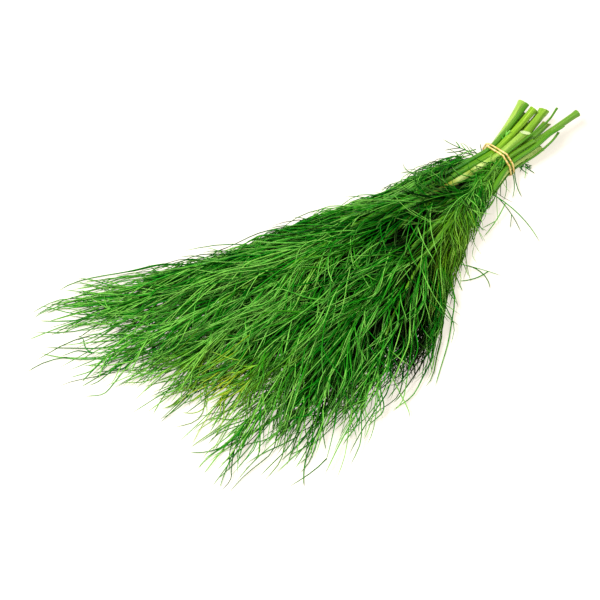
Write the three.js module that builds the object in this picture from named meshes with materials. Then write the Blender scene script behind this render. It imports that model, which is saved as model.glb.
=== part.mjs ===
// A bunch of fresh dill, tied with a doubled rubber band and lying on a table.
// Millimetres, +Z up. +X runs along the bunch from the feathery tips towards the cut stalk ends, and the
// origin is the middle of the bunch's footprint on the table.
//
// Thirteen sprigs pass through the band. Each is a stalk with a left leaf, a right leaf and a tip leaf.
// Beyond the band they open into a fan of two rows: seven sprigs lie on the table and six lie on those.
// The leaves are plain closed plumes: the outer shape of the thread-like foliage.
import * as THREE from 'three';

// Driving dimensions.
const GAP = 0.3; // clearance between neighbouring pieces
const STATION = 15; // spacing of the outlines along the bunch
const LEAST_SPACING = 3.75; // the closest that an end of a piece may be to the next outline
const SEARCH_STEP = 5; // spacing of the places tried for a leaf's start
const SLOPE_STEP = 0.5; // half the stretch over which a line's direction is measured
const STALK_SIDES = 8; // corners of a stalk's outline
const STALK_TAPER = 0.62; // share of its radius that a stalk loses from the band to its far end
const STALK_SHARE = 0.74; // share of a sprig's length that its stalk runs for
const LEAF_FROM = 34; // where the lowest leaves may begin, measured from the band
const LEAF_WIDTH = 17; // the furthest that a leaf spreads from its stalk towards another sprig
const EDGE_WIDTH = 10.5; // the same at the edge of the fan
const LEAF_EDGE = 1.3; // least thickness of a leaf outside its stalk
const LEAF_END = { early: 0.93, late: 0.985 }; // where side leaves end, as shares of their stalk
const CUT_FLARE = 1.35; // how gently the stalks spread between the band and their cut ends
const OVAL_SIDES = 8; // corners of a neck leaf's outline
const PETIOLE_SIDES = 6; // corners of a leaf stalk's outline
const SPREAD = { slope: 0.22, flare: 3.1e-6 }; // how fast the fan opens with distance from the band
const RISE = { from: 18, to: 82 }; // stretch over which the tied bundle sorts itself into two rows

// The rubber band: its thickness, how far its two strands stand apart and lean, how high and how
// abruptly one climbs over the other, and where round the bundle they cross.
const BAND = { radius: 0.62, spread: 1.35, skew: 0.45, lift: 1.55, steepness: 7, crossing: 0.1 };
const BAND_SIDES = 8;
const BAND_STEPS = 112;

// How full a side leaf is from its start to its end: the stretch of a sine hump that it follows, how
// blunt that is made, and how thin its lower half may get.
const LEAF_SWELL = { from: 0.12, to: 0.8, bluntness: 0.45, underside: 0.8 };

// Corners of a side leaf's outline, as shares of its width and of its height over or under the stalk.
const LEAF_CORNERS = { foot: 0.72, lowSide: 0.35, highSide: 0.3, shoulder: 0.6, shoulderHeight: 0.9 };

// A tip leaf: half its width, how it narrows, and how thin and low it may get at its end.
const TIP = { width: 15, narrowing: 1.8, bluntness: 0.8, thinnest: 0.07, lowest: 0.3 };
const TIP_CORNERS = { foot: 0.75, sideHeight: 0.35, shoulder: 0.7, shoulderHeight: 0.85 };

// A neck leaf: the stretch of a sine hump that it follows, how blunt that is, and its thinnest share.
const NECK_SWELL = { from: 0.06, to: 0.95, bluntness: 0.7, thinnest: 0.2 };
const NECK_STEPS = 7;
const PETIOLE_STEPS = 14;

// Heights over the table, as [distance from the band, height]: the seam between the rows, and the top.
const SEAM = [[0, 8.5], [50, 11.5], [120, 14.5], [200, 12.5], [250, 8.5], [310, 4.5]];
const TOP = [[0, 17], [50, 23], [100, 30], [150, 30], [200, 25], [250, 16], [310, 8]];

// Every sprig: where its stalk passes the band (across, up), its radius there, how far past the band it
// is cut, how many degrees it splays to the left and climbs on the way there, how far it leans out in the
// fan, how far its tip bends sideways from that, and how far its tip reaches.
const LOW_SPRIGS = [
  { tie: [9.1, 9.2], radius: 2.2, past: 48, splay: 15, climb: 0, lean: 0.75, bend: 6, reach: 291 },
  { tie: [6.7, 4.2], radius: 2.0, past: 41, splay: 8, climb: 0, lean: 0.49, bend: 0, reach: 306 },
  { tie: [2.3, 3.8], radius: 2.1, past: 44, splay: 8, climb: 0, lean: 0.26, bend: 0, reach: 280 },
  { tie: [-0.2, 8.3], radius: 2.5, past: 52, splay: 8, climb: 1, lean: 0.01, bend: 0, reach: 278 },
  { tie: [-2.6, 3.9], radius: 2.1, past: 48, splay: 3, climb: 4, lean: -0.25, bend: 0, reach: 290 },
  { tie: [-7.0, 4.0], radius: 2.0, past: 32, splay: -4, climb: -2, lean: -0.56, bend: -4, reach: 250 },
  { tie: [-8.9, 8.0], radius: 1.3, past: 27, splay: -3, climb: -1, lean: -0.8, bend: -36, reach: 160 },
];
const HIGH_SPRIGS = [
  { tie: [8.6, 13.3], radius: 1.5, past: 46, splay: 10, climb: 0, lean: 0.62, bend: 42, reach: 266 },
  { tie: [4.6, 8.3], radius: 1.9, past: 43, splay: 14, climb: 0, lean: -0.1, bend: -5, reach: 246 },
  { tie: [4.9, 12.6], radius: 1.9, past: 45, splay: 7, climb: 1, lean: 0.6, bend: -23, reach: 284 },
  { tie: [0.2, 13.5], radius: 2.4, past: 24, splay: 0, climb: 4, lean: 0.55, bend: -39, reach: 270 },
  { tie: [-5.1, 8.3], radius: 2.0, past: 66, splay: -4, climb: 1, lean: -0.35, bend: -20, reach: 240 },
  { tie: [-4.3, 12.5], radius: 1.6, past: 26, splay: -5, climb: -1, lean: -0.75, bend: -20, reach: 213 },
];
const SPRIGS = [
  ...LOW_SPRIGS.map((sprig) => ({ ...sprig, row: 'low' })),
  ...HIGH_SPRIGS.map((sprig) => ({ ...sprig, row: 'high' })),
];

// Thin leaf stalks whose blades are part of the mass: the route of each, as [from the band, across, up].
const PETIOLES = [
  {
    radius: 0.6,
    route: [[-57, 0, 14.5], [-46, -2.5, 13.5], [-24, -4, 16.5], [0, -3.2, 15.3], [26, -8.5, 17.5]],
  },
  {
    radius: 0.9,
    route: [[-50, -12.5, 12], [-38, -10, 12], [-24, -10, 11.5], [0, -7.9, 10.9], [24, -15, 11.5]],
  },
  {
    radius: 0.6,
    route: [[-45, -12, 9.5], [-37, -13.5, 9], [-22, -13, 7], [0, -10.1, 5.6], [22, -14.5, 5]],
  },
];

// Short leaves that wrap the neck just below the band: the line each follows, as [from the band, across,
// up], and its half width and half height at the middle.
const NECK_LEAVES = {
  neck_frond_left: { line: [[5, 13.7, 9.5], [16, 17.4, 10], [33, 21, 9]], half: [2.4, 6] },
  neck_frond_top: { line: [[7, -4.5, 19.3], [26, -4, 20.5], [47, -3, 25.2]], half: [6.5, 2.2] },
  neck_frond_right: { line: [[25, -16.5, 6], [22, -30, 5], [32, -52, 3]], half: [3, 2.6] },
};

const COLOURS = {
  pale: { color: 0xb4d24e, roughness: 0.45 },
  green: { color: 0x5f9a2c, roughness: 0.5 },
  leaf: { color: 0x2f7a1c, roughness: 0.6 },
  band: { color: 0xe8cf86, roughness: 0.4 },
};

const lerp = THREE.MathUtils.lerp;
const slope = (degrees) => Math.tan(THREE.MathUtils.degToRad(degrees));
const smoothstep = THREE.MathUtils.smoothstep;

// Reads a [distance, height] list at a distance, with straight stretches between its points.
function readProfile(profile, s) {
  const next = Math.max(1, profile.findIndex(([at]) => at >= s));
  const [s0, h0] = profile[next - 1];
  const [s1, h1] = profile[next];
  return lerp(h0, h1, THREE.MathUtils.clamp((s - s0) / (s1 - s0), 0, 1));
}

const fan = (s) => SPREAD.slope * s + SPREAD.flare * s ** 3;

// The lowest and highest point of a row of leaves at a distance from the band.
function rowHeights(row, s) {
  const seam = readProfile(SEAM, s);
  return row === 'low' ? [0, seam - GAP] : [seam + GAP, readProfile(TOP, s)];
}

// The middle line of a stalk: s is the distance from the band, negative towards the cut end.
function stalkPoint(sprig, s) {
  const [y, z] = sprig.tie;
  if (s < 0) {
    const run = sprig.past * (-s / sprig.past) ** CUT_FLARE;
    return new THREE.Vector3(-s, y + run * slope(sprig.splay), z + run * slope(sprig.climb));
  }
  const [bottom, top] = rowHeights(sprig.row, s);
  const sorted = smoothstep(s, RISE.from, RISE.to);
  const sideways = sprig.lean * fan(s) + sprig.bend * (s / sprig.reach) ** 3;
  return new THREE.Vector3(-s, y + sideways, lerp(z, (bottom + top) / 2, sorted));
}

function stalkRadius(sprig, s) {
  const along = s / (STALK_SHARE * sprig.reach);
  return sprig.radius * (1 - STALK_TAPER * THREE.MathUtils.clamp(along, 0, 1));
}

// Distances for the outlines of a piece: its two ends, and every shared station between them.
function stations(from, to) {
  const between = [];
  const first = Math.ceil((from + LEAST_SPACING) / STATION);
  for (let n = first; n * STATION < to - LEAST_SPACING; n++) between.push(n * STATION);
  return [from, ...between, to];
}

// A closed solid through a row of outlines with equal numbers of points. A ring closes on itself, and
// any other has flat ends.
function loft(outlines, isRing = false) {
  const sides = outlines[0].length;
  const index = [];
  const last = outlines.length - (isRing ? 0 : 1);
  for (let n = 0; n < last; n++) {
    const here = n * sides;
    const next = ((n + 1) % outlines.length) * sides;
    for (let k = 0; k < sides; k++) {
      const side = (k + 1) % sides;
      index.push(here + k, here + side, next + k);
      index.push(here + side, next + side, next + k);
    }
  }
  if (!isRing) {
    const far = last * sides;
    for (const [a, b, c] of flatFace(outlines[0])) index.push(c, b, a);
    for (const [a, b, c] of flatFace(outlines[last])) index.push(far + a, far + b, far + c);
  }
  const geometry = new THREE.BufferGeometry().setFromPoints(outlines.flat());
  geometry.setIndex(index);
  if (signedVolume(geometry) < 0) geometry.index.array.reverse();
  geometry.computeVertexNormals();
  return geometry;
}

// Triangles that fill an outline, which may be hollow on one side.
function flatFace(outline) {
  const normal = new THREE.Vector3();
  outline.forEach((p, k) => normal.add(p.clone().cross(outline[(k + 1) % outline.length])));
  const across = outline[1].clone().sub(outline[0]).normalize();
  const up = normal.normalize().clone().cross(across);
  const flat = outline.map((p) => new THREE.Vector2(p.dot(across), p.dot(up)));
  return THREE.ShapeUtils.triangulateShape(flat, []);
}

function signedVolume(geometry) {
  const [a, b, c] = [new THREE.Vector3(), new THREE.Vector3(), new THREE.Vector3()];
  const points = geometry.getAttribute('position');
  const index = geometry.index.array;
  let sum = 0;
  for (let n = 0; n < index.length; n += 3) {
    a.fromBufferAttribute(points, index[n]);
    b.fromBufferAttribute(points, index[n + 1]);
    c.fromBufferAttribute(points, index[n + 2]);
    sum += a.dot(b.cross(c)) / 6;
  }
  return sum;
}

// A tapered round tube: line(s) gives its middle, radius(s) its size.
function tube(line, radius, distances) {
  const outlines = distances.map((s) => {
    const along = line(s + SLOPE_STEP).sub(line(s - SLOPE_STEP)).normalize();
    const across = new THREE.Vector3(-along.y, along.x, 0).normalize();
    const up = along.clone().cross(across);
    return ring(STALK_SIDES, (cos, sin) =>
      line(s).addScaledVector(across, radius(s) * cos).addScaledVector(up, radius(s) * sin),
    );
  });
  return loft(outlines);
}

function ring(sides, place) {
  return Array.from({ length: sides }, (_, k) => {
    const angle = (2 * Math.PI * (k + 0.5)) / sides;
    return place(Math.cos(angle), Math.sin(angle));
  });
}

function stalk(sprig) {
  const end = STALK_SHARE * sprig.reach;
  const behind = stations(0, sprig.past).slice(1).map((s) => -s).reverse();
  const distances = [...behind, ...stations(0, end)];
  return tube((s) => stalkPoint(sprig, s), (s) => stalkRadius(sprig, s), distances);
}

// The room that a leaf has on one side of its stalk (side is 1 for left, -1 for right), up to halfway
// to the next sprig of its row.
function roomBeside(sprig, side, s) {
  const own = stalkPoint(sprig, s).y;
  const distances = SPRIGS.filter((other) => other !== sprig && other.row === sprig.row)
    .map((other) => side * (stalkPoint(other, s).y - own))
    .filter((distance) => distance > 0);
  return distances.length ? Math.min(LEAF_WIDTH, Math.min(...distances) / 2 - GAP / 2) : EDGE_WIDTH;
}

// How far a leaf's clearance round its stalk reaches across, where the stalk runs at a slant.
function stalkClearance(sprig, s) {
  const run = stalkPoint(sprig, s + SLOPE_STEP).sub(stalkPoint(sprig, s - SLOPE_STEP));
  return ((stalkRadius(sprig, s) + GAP) * run.length()) / Math.abs(run.x) / Math.cos(Math.PI / STALK_SIDES);
}

// A leaf's outline on one side of its stalk, wrapped half round it: C-shaped, flat underneath.
function leafOutline(sprig, side, s, fullness) {
  const middle = stalkPoint(sprig, s);
  const [bottom, top] = rowHeights(sprig.row, s);
  const clear = stalkClearance(sprig, s);
  const least = clear + LEAF_EDGE;
  const width = Math.max(least, roomBeside(sprig, side, s) * fullness);
  const above = Math.max(least, (top - middle.z) * fullness);
  const below = Math.max(least, (middle.z - bottom) * Math.max(fullness, LEAF_SWELL.underside));
  const diagonal = clear * Math.SQRT1_2;
  const outline = [
    [GAP / 2, -below],
    [LEAF_CORNERS.foot * width, -below],
    [width, -LEAF_CORNERS.lowSide * below],
    [width, LEAF_CORNERS.highSide * above],
    [LEAF_CORNERS.shoulder * width, LEAF_CORNERS.shoulderHeight * above],
    [GAP / 2, above],
    [GAP / 2, clear],
    [diagonal, diagonal],
    [clear, 0],
    [diagonal, -diagonal],
    [GAP / 2, -clear],
  ];
  return outline.map(([across, up]) => new THREE.Vector3(middle.x, middle.y + side * across, middle.z + up));
}

// How full a plume is at a share of its length: a stretch of a sine hump, made blunter.
const hump = ({ from, to, bluntness }, t) => Math.sin(Math.PI * lerp(from, to, t)) ** bluntness;

// A side leaf runs from the first station with room for it to near its stalk's end. Leaves alternate:
// the one that starts lower on the stalk also ends lower.
function sideLeaf(sprig, side, startsLower) {
  const end = STALK_SHARE * sprig.reach;
  const hasRoom = (s) => {
    const needed = stalkClearance(sprig, s) + LEAF_EDGE + GAP;
    const [bottom, top] = rowHeights(sprig.row, s);
    const { z } = stalkPoint(sprig, s);
    return Math.min(roomBeside(sprig, side, s), z - bottom, top - z) > needed;
  };
  let from = LEAF_FROM + (startsLower ? 0 : STATION);
  while (!hasRoom(from)) from += SEARCH_STEP;
  const to = end * (startsLower ? LEAF_END.early : LEAF_END.late);
  const outlines = stations(from, to).map((s) => {
    const t = (s - from) / (to - from);
    return leafOutline(sprig, side, s, hump(LEAF_SWELL, t));
  });
  return loft(outlines);
}

// The leaf past the stalk's end, which narrows to the sprig's tip.
function tipLeaf(sprig) {
  const from = STALK_SHARE * sprig.reach + 2 * GAP;
  const outlines = stations(from, sprig.reach).map((s) => {
    const t = (s - from) / (sprig.reach - from);
    const fullness = Math.max(TIP.thinnest, (1 - t ** TIP.narrowing) ** TIP.bluntness);
    const middle = stalkPoint(sprig, s);
    const [bottom, top] = rowHeights(sprig.row, s);
    const left = Math.min(TIP.width, roomBeside(sprig, 1, s)) * fullness;
    const right = Math.min(TIP.width, roomBeside(sprig, -1, s)) * fullness;
    const high = lerp(bottom, top, Math.max(fullness, TIP.lowest));
    const side = lerp(bottom, high, TIP_CORNERS.sideHeight);
    const shoulder = lerp(bottom, high, TIP_CORNERS.shoulderHeight);
    const outline = [
      [-TIP_CORNERS.foot * right, bottom],
      [TIP_CORNERS.foot * left, bottom],
      [left, side],
      [TIP_CORNERS.shoulder * left, shoulder],
      [0, high],
      [-TIP_CORNERS.shoulder * right, shoulder],
      [-right, side],
    ];
    return outline.map(([across, up]) => new THREE.Vector3(middle.x, middle.y + across, up));
  });
  return loft(outlines);
}

// A plain plume of oval outlines along a line, narrow at both ends.
function neckLeaf({ line, half }) {
  const curve = new THREE.CatmullRomCurve3(line.map(([s, y, z]) => new THREE.Vector3(-s, y, z)));
  const outlines = Array.from({ length: NECK_STEPS + 1 }, (_, n) => {
    const t = n / NECK_STEPS;
    const fullness = Math.max(NECK_SWELL.thinnest, hump(NECK_SWELL, t));
    return crossing(curve, t, OVAL_SIDES, half[0] * fullness, half[1] * fullness);
  });
  return loft(outlines);
}

// An oval square to a curve at t, standing upright, with its half width and half height.
function crossing(curve, t, sides, halfWidth, halfHeight) {
  const along = curve.getTangent(t);
  const across = new THREE.Vector3(-along.y, along.x, 0).normalize();
  const up = along.clone().cross(across);
  return ring(sides, (cos, sin) =>
    curve.getPoint(t).addScaledVector(across, halfWidth * cos).addScaledVector(up, halfHeight * sin),
  );
}

function petiole({ radius, route }) {
  const curve = new THREE.CatmullRomCurve3(route.map(([s, y, z]) => new THREE.Vector3(-s, y, z)));
  const outlines = Array.from({ length: PETIOLE_STEPS + 1 }, (_, n) =>
    crossing(curve, n / PETIOLE_STEPS, PETIOLE_SIDES, radius, radius),
  );
  return loft(outlines);
}

// How far the tied stalks reach in a direction, measured at the band: what a taut band lies against.
function bundleReach(angle) {
  const stems = SPRIGS.map(({ tie, radius }) => [...tie, radius]);
  for (const { radius, route } of PETIOLES) {
    const [, y, z] = route.find(([s]) => s === 0);
    stems.push([y, z, radius]);
  }
  return Math.max(...stems.map(([y, z, radius]) => y * Math.cos(angle) + z * Math.sin(angle) + radius));
}

// The rubber band: one closed loop that goes round the bundle twice and crosses itself once.
function rubberBand() {
  const step = 1e-3;
  const round = Array.from({ length: BAND_STEPS }, (_, n) => {
    const angle = (4 * Math.PI * n) / BAND_STEPS;
    const turn = (angle - BAND.crossing) / 2;
    const over = BAND.lift * Math.max(0, Math.cos(turn)) ** BAND.steepness;
    const reach = bundleReach(angle) + BAND.radius + GAP + over;
    const slope = (bundleReach(angle + step) - bundleReach(angle - step)) / (2 * step);
    const y = reach * Math.cos(angle) - slope * Math.sin(angle);
    const z = reach * Math.sin(angle) + slope * Math.cos(angle);
    return new THREE.Vector3((BAND.spread + BAND.skew * Math.sin(angle)) * Math.sin(turn), y, z);
  });
  const curve = new THREE.CatmullRomCurve3(round, true);
  const outlines = Array.from({ length: BAND_STEPS }, (_, n) => {
    const t = n / BAND_STEPS;
    const along = curve.getTangent(t);
    const side = new THREE.Vector3(1, 0, 0).addScaledVector(along, -along.x).normalize();
    const out = along.clone().cross(side);
    const middle = curve.getPoint(t);
    return ring(BAND_SIDES, (cos, sin) =>
      middle.clone().addScaledVector(side, BAND.radius * cos).addScaledVector(out, BAND.radius * sin),
    );
  });
  return loft(outlines, true);
}

const bunch = new THREE.Group();

function add(name, geometry, look) {
  const mesh = new THREE.Mesh(geometry, new THREE.MeshStandardMaterial({ metalness: 0, ...look }));
  mesh.name = name;
  bunch.add(mesh);
}

SPRIGS.forEach((sprig, n) => {
  const number = String(n + 1).padStart(2, '0');
  const leftFirst = n % 2 === 0;
  add(`stalk_${number}`, stalk(sprig), sprig.row === 'low' ? COLOURS.green : COLOURS.pale);
  add(`frond_${number}_left`, sideLeaf(sprig, 1, leftFirst), COLOURS.leaf);
  add(`frond_${number}_right`, sideLeaf(sprig, -1, !leftFirst), COLOURS.leaf);
  add(`frond_${number}_tip`, tipLeaf(sprig), COLOURS.leaf);
});
PETIOLES.forEach((stem, n) => add(`petiole_${n + 1}`, petiole(stem), COLOURS.green));
Object.entries(NECK_LEAVES).forEach(([name, leaf]) => add(name, neckLeaf(leaf), COLOURS.leaf));
add('rubber_band', rubberBand(), COLOURS.band);

// The footprint's middle on the table becomes the origin.
const box = new THREE.Box3().setFromObject(bunch);
const middle = box.getCenter(new THREE.Vector3());
bunch.position.set(-middle.x, -middle.y, -box.min.z);

export default bunch;
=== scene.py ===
import math

import bpy
import numpy as np
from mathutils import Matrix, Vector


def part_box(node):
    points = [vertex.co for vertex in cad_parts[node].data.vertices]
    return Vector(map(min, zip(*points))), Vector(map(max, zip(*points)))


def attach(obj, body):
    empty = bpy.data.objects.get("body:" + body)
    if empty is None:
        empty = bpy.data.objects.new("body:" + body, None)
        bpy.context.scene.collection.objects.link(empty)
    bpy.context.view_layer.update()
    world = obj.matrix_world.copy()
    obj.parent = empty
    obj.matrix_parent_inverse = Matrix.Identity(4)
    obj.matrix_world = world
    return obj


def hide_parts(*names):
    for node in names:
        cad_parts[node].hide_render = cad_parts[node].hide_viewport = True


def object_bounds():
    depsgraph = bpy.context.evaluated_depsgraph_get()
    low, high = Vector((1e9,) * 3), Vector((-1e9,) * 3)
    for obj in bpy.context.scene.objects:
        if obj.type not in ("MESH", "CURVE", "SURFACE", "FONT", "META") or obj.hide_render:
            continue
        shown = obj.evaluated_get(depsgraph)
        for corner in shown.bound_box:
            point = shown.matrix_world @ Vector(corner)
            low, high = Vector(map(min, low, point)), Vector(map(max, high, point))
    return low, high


# A bunch of fresh dill on a white table. Lengths are millimetres until a mesh is made.
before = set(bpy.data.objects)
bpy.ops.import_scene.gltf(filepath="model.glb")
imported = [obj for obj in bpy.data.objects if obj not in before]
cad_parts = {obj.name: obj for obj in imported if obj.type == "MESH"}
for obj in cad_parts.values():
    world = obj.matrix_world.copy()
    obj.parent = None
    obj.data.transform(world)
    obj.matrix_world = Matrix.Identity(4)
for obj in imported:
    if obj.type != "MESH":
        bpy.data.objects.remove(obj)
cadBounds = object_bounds()
mm = 0.001

bandLow, bandHigh = (np.array(corner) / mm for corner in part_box("rubber_band"))
tieOffset = 0.35  # how far the tied stalks' middle lies to the right of the band's
tieX = (bandLow[0] + bandHigh[0]) / 2
tieY = (bandLow[1] + bandHigh[1]) / 2 - tieOffset


def toLinear(hexColour):
    parts = [int(hexColour[i:i + 2], 16) / 255 for i in (0, 2, 4)]
    return [c / 12.92 if c <= 0.04045 else ((c + 0.055) / 1.055) ** 2.4 for c in parts] + [1.0]


# Adds a node with its inputs' values or links, a ramp's stops and its settings, and returns its outputs.
def addNode(tree, kind, inputs, stops=(), **settings):
    node = tree.nodes.new("ShaderNode" + kind)
    for name, value in settings.items():
        setattr(node, name, value)
    for name, value in inputs.items():
        if isinstance(value, bpy.types.NodeSocket):
            tree.links.new(value, node.inputs[name])
        else:
            node.inputs[name].default_value = value
    if stops:
        ramp = node.color_ramp.elements
        ramp.remove(ramp[-1])
        ramp[0].position, ramp[0].color = stops[0][0], toLinear(stops[0][1])
        for position, colour in stops[1:]:
            ramp.new(position).color = toLinear(colour)
    return node.outputs


def newMaterial(name):
    material = bpy.data.materials.new(name)
    material.use_nodes = True
    material.node_tree.nodes.clear()
    return material, material.node_tree


def unit(vectors):
    return vectors / np.maximum(np.linalg.norm(vectors, axis=-1, keepdims=True), 1e-9)


# The angles of a ring's corners.
def ringAngles(sides, turns=1):
    return np.arange(sides) * 2 * turns * math.pi / sides


def smoothStep(edge0, edge1, x):
    t = np.clip((x - edge0) / (edge1 - edge0), 0, 1)
    return t * t * (3 - 2 * t)


# Places from the band: s towards the tips and y to the left of the band's middle.
def fromBand(points):
    return tieX - points[..., 0], points[..., 1] - tieY


def toWorld(s, y, z):
    return np.stack([tieX - s, tieY + y, z], axis=-1)


# How far along a line of points each point is.
def runAlong(points):
    return np.concatenate([[0], np.cumsum(np.linalg.norm(np.diff(points, axis=0), axis=1))])


# A smooth curve through points, at the given shares of its length.
def smoothCurve(points, shares):
    points = np.asarray(points, float)
    run = runAlong(points)
    slope = np.gradient(points, run, axis=0)
    at = np.asarray(shares) * run[-1]
    i = np.clip(np.searchsorted(run, at) - 1, 0, len(points) - 2)
    h = (run[i + 1] - run[i])[:, None]
    t = ((at - run[i])[:, None]) / h
    return ((2 * t**3 - 3 * t**2 + 1) * points[i] + (t**3 - 2 * t**2 + t) * h * slope[i]
            + (3 * t**2 - 2 * t**3) * points[i + 1] + (t**3 - t**2) * h * slope[i + 1])


def nodeCorners(nodeName):
    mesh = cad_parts[nodeName].data
    corners = np.empty(len(mesh.vertices) * 3)
    mesh.vertices.foreach_get("co", corners)
    return corners.reshape(-1, 3) / mm


outlineGap = 1.2  # a frame node's outlines stand further apart than this


# A frame node's outlines from the cut end outwards: middles, and lowest and highest corners.
def outlinesOf(nodeName):
    corners = np.unique(np.round(nodeCorners(nodeName), 3), axis=0)[::-1]
    groups = np.split(corners, np.flatnonzero(-np.diff(corners[:, 0]) > outlineGap) + 1)
    middles = np.array([(g.min(0) + g.max(0)) / 2 for g in groups])
    return middles, np.array([g.min(0) for g in groups]), np.array([g.max(0) for g in groups])


def addObject(name, data):
    thing = bpy.data.objects.new(name, data)
    bpy.context.collection.objects.link(thing)
    return thing


# Makes a piece in place of a frame node, and returns how many triangles it has.
def makePiece(name, nodeName, material, vertices, faces, attributes):
    mesh = bpy.data.meshes.new(name)
    mesh.from_pydata((vertices * mm).tolist(), [], faces.tolist())
    for attributeName, values in attributes.items():
        mesh.attributes.new(attributeName, "FLOAT", "POINT").data.foreach_set("value", values)
    mesh.polygons.foreach_set("use_smooth", np.ones(len(faces), bool))
    mesh.materials.append(material)
    mesh.update()
    piece = addObject(name, mesh)
    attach(piece, "root")
    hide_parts(nodeName)
    return len(faces)


# Triangles from three arrays of corners.
def facesOf(a, b, c):
    return np.stack(np.broadcast_arrays(a, b, c), -1).reshape(-1, 3)


threadSides = 3
nearlyUp = np.array([0.03, 0.05, 1.0])  # no thread runs exactly this way


# Closed pointed tubes along many curves at once: points (curves, steps, 3), radii (curves, steps).
def threadTubes(points, radii):
    count, steps = radii.shape
    sides = threadSides
    tangent = unit(np.gradient(points, axis=1))
    across = unit(np.cross(tangent, nearlyUp))
    out = np.cross(across, tangent)
    angle = ringAngles(sides)
    ring = (np.cos(angle)[:, None] * across[:, :, None] + np.sin(angle)[:, None] * out[:, :, None])
    body = points[:, :-1, None] + ring[:, :-1] * radii[:, :-1, None, None]
    vertices = np.concatenate([body.reshape(count, -1, 3), points[:, -1:]], axis=1)
    k, n = np.arange(sides), np.arange(steps - 2)[:, None]
    a, b = n * sides + k, n * sides + (k + 1) % sides
    last = (steps - 2) * sides
    pattern = np.concatenate([
        facesOf(a, b, b + sides), facesOf(a, b + sides, a + sides),
        facesOf(last + k, last + (k + 1) % sides, last + sides), facesOf(0, k[2:], k[1:-1])])
    perThread = (steps - 1) * sides + 1
    faces = (pattern[None] + (np.arange(count) * perThread)[:, None, None]).reshape(-1, 3)
    along = np.concatenate([np.repeat(np.linspace(0, 1, steps)[:-1], sides), [1.0]])
    return vertices.reshape(-1, 3), faces, np.tile(along, count), np.repeat(np.arange(count), perThread)


print("frame read: tie at", np.round([tieX, tieY], 1))

# Each sprig's line runs from just before the band to its tip.
sprigCount = 13
beforeBand = 1
sprigs = []
for number in range(1, sprigCount + 1):
    stalkMiddles, stalkLow, stalkHigh = outlinesOf(f"stalk_{number:02d}")
    tipMiddles, _, _ = outlinesOf(f"frond_{number:02d}_tip")
    thick = (stalkHigh[:, 2] - stalkLow[:, 2]) / 2
    line = np.concatenate([stalkMiddles[stalkMiddles[:, 0] < tieX + beforeBand], tipMiddles[1:]])
    s, y = fromBand(line)
    sprigs.append({"stalk": stalkMiddles, "thick": thick, "s": s, "y": y, "z": line[:, 2],
                   "slope": np.gradient(line[:, 1], s), "reach": s[-1]})
print("sprig lines read:", len(sprigs))


# A value of a sprig's line at a distance from the band.
def lineAt(sprig, s, value="y"):
    return np.interp(s, sprig["s"], sprig[value])


# The heap's shape, worked out from the frame at even stations from the band.
heapShape = {
    "station": 15, "last": 330,
    "sink": 1.5, "least": 3,  # how far the leaves lie under the frame's tops, and their least height
    # how far leaves spread past the outer sprigs, by the distance from the band
    "marginAt": (0, 120, 250), "leftMargin": (3, 11, 11), "rightMargin": (-7, 6, -3),
    "tipRun": 25, "tipMargin": 0.2,  # the margin narrows over a sprig's last stretch, to this share
    "narrowing": 0.2,  # how fast the outline may close in again
    "notch": 2.0,  # how steeply the front falls back between two tips
    "overhang": 10, "dome": 2.6, "edgeFall": 0.97,  # how wide and square the dome is
}
stations = np.arange(0, heapShape["last"] + 1, heapShape["station"])


def heapTops():
    corners = np.concatenate([nodeCorners(name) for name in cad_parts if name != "rubber_band"])
    near = np.abs(tieX - corners[:, 0] - stations[:, None]) < heapShape["station"] / 2
    tops = np.array([corners[rows, 2].max() if rows.any() else 0 for rows in near])
    return np.maximum(tops - heapShape["sink"], heapShape["least"])


def fanEdge(side, margins):
    edges = []
    for sprig in sprigs:
        left = sprig["reach"] - stations
        margin = np.interp(stations, heapShape["marginAt"], margins)
        margin = margin * np.clip(left / heapShape["tipRun"], heapShape["tipMargin"], 1)
        edges.append(np.where(left > 0, side * lineAt(sprig, stations) + margin, -np.inf))
    edge = np.max(edges, axis=0)
    for n in range(1, len(edge)):
        edge[n] = max(edge[n], edge[n - 1] - heapShape["narrowing"] * heapShape["station"])
    return side * edge


heapTop = heapTops()
leftEdge = fanEdge(1, heapShape["leftMargin"])
rightEdge = fanEdge(-1, heapShape["rightMargin"])


def leftAt(s):
    return np.interp(s, stations, leftEdge)


def rightAt(s):
    return np.interp(s, stations, rightEdge)


# How far from the band the fan reaches at a place across it.
def frontAt(y):
    fronts = [sprig["reach"] - heapShape["notch"] * np.abs(y - sprig["y"][-1]) for sprig in sprigs]
    return np.max(fronts, axis=0)


# How high the heap of leaves is at a place: domed across, thin at its edge.
def heapHeight(s, y):
    left, right = leftAt(s), rightAt(s)
    share = np.clip(np.abs(2 * y - left - right) / (left - right + heapShape["overhang"]), 0, 1)
    return np.interp(s, stations, heapTop) * np.sqrt(1 - share ** heapShape["dome"] * heapShape["edgeFall"])


print("heap worked out: edges at 150 mm", np.round([leftAt(150), rightAt(150)], 1))

# Dill leaf: fresh green threads with a thin waxy bloom. The bloom scatters light softly, so they look
# satin, and the young tips are paler and yellower than the bases.
leafLook = {
    # the ramp's near-black low end is painted shade for threads deep in the heap; its upper end holds the
    # leaves' own greens
    "greensAndPaintedShade": [(0.0, "000300"), (0.28, "001c00"), (0.5, "004404"),
               (0.72, "066e08"), (0.88, "289018"), (1.0, "76be4a")],
    "yellow": "a8bc26", "tip": "b4cf7c", "tipFrom": 0.55, "tipShare": 0.24,
    "blotch": 6.25, "uneven": 0.3,  # width of a blotch, as single threads age unevenly
    "roughness": 0.42, "ior": 1.45, "specular": 0.04,
}


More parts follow.
